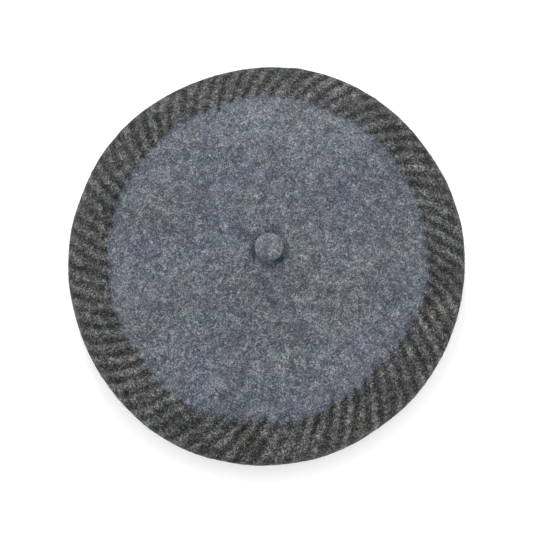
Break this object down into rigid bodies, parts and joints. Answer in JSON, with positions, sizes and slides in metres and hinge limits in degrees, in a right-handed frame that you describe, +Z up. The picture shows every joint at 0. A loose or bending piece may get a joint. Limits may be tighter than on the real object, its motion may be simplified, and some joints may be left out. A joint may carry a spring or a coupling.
{
  "type": "wool felt beret",
  "caption": "Round wool felt beret with a domed blue-grey crown, a striped charcoal rim that turns under, a headband and a felt-covered button.",
  "frame": {"origin": "on the table, at the foot of the headband, on the axis of the button", "axes": "+Z up along the button's axis; +Y towards the back of the head; +X to the wearer's left when it is worn"},
  "size_m": [0.28, 0.28, 0.076],
  "materials": {
    "crown_felt": "matte",
    "rim_felt": "matte",
    "band_felt": "matte",
    "seam_yarn": "matte",
    "elastic_web": "matte",
    "dark_thread": "satin",
    "light_thread": "satin",
    "ribbon": "satin",
    "label_weave": "matte",
    "label_satin": "satin",
    "shell_metal": "satin",
    "shank_wire": "satin",
    "patch_felt": "matte",
    "anchor_plastic": "satin"
  },
  "bodies": {
    "hat": {"crown_top": "crown_felt", "rim_upper": "rim_felt", "rim_under": "rim_felt", "crown_seam": "seam_yarn", "edge_seam": "seam_yarn", "band_seam": "seam_yarn", "headband": "band_felt", "elastic": "elastic_web", "hem_stitches": "dark_thread", "sweatband": "ribbon", "sweatband_stitches": "dark_thread", "main_label": "label_weave", "main_label_stitches": "light_thread", "care_label_tab": "label_satin", "care_label_stitches": "light_thread", "crown_patch": "patch_felt"},
    "shank": {"button_thread": "dark_thread", "anchor_button": "anchor_plastic", "thread_knot": "dark_thread"},
    "wire_eye": {"button_loop": "shank_wire"},
    "button": {"button_cover": "crown_felt", "button_shell": "shell_metal", "button_back": "shell_metal"},
    "care_flap": {"care_label": "label_satin"}
  },
  "joints": [
    {"name": "button_twist", "type": "hinge", "parent": "hat", "child": "shank", "pos_m": [0, 0, 0.066], "axis": [0, 0, 1], "range_deg": [-30, 30], "stiffness_Nm_per_rad": 0.004},
    {"name": "eye_swing", "type": "hinge", "parent": "shank", "child": "wire_eye", "pos_m": [0, 0, 0.06791], "axis": [0, 1, 0], "range_deg": [-8, 8], "stiffness_Nm_per_rad": 0.004},
    {"name": "button_tip", "type": "hinge", "parent": "wire_eye", "child": "button", "pos_m": [0, 0, 0.07026], "axis": [1, 0, 0], "range_deg": [-8, 8], "stiffness_Nm_per_rad": 0.004},
    {"name": "care_label_fold", "type": "hinge", "parent": "hat", "child": "care_flap", "pos_m": [-0.07884, 0, 0.023], "axis": [0, -1, 0], "range_deg": [0, 100], "stiffness_Nm_per_rad": 0.00008}
  ]
}
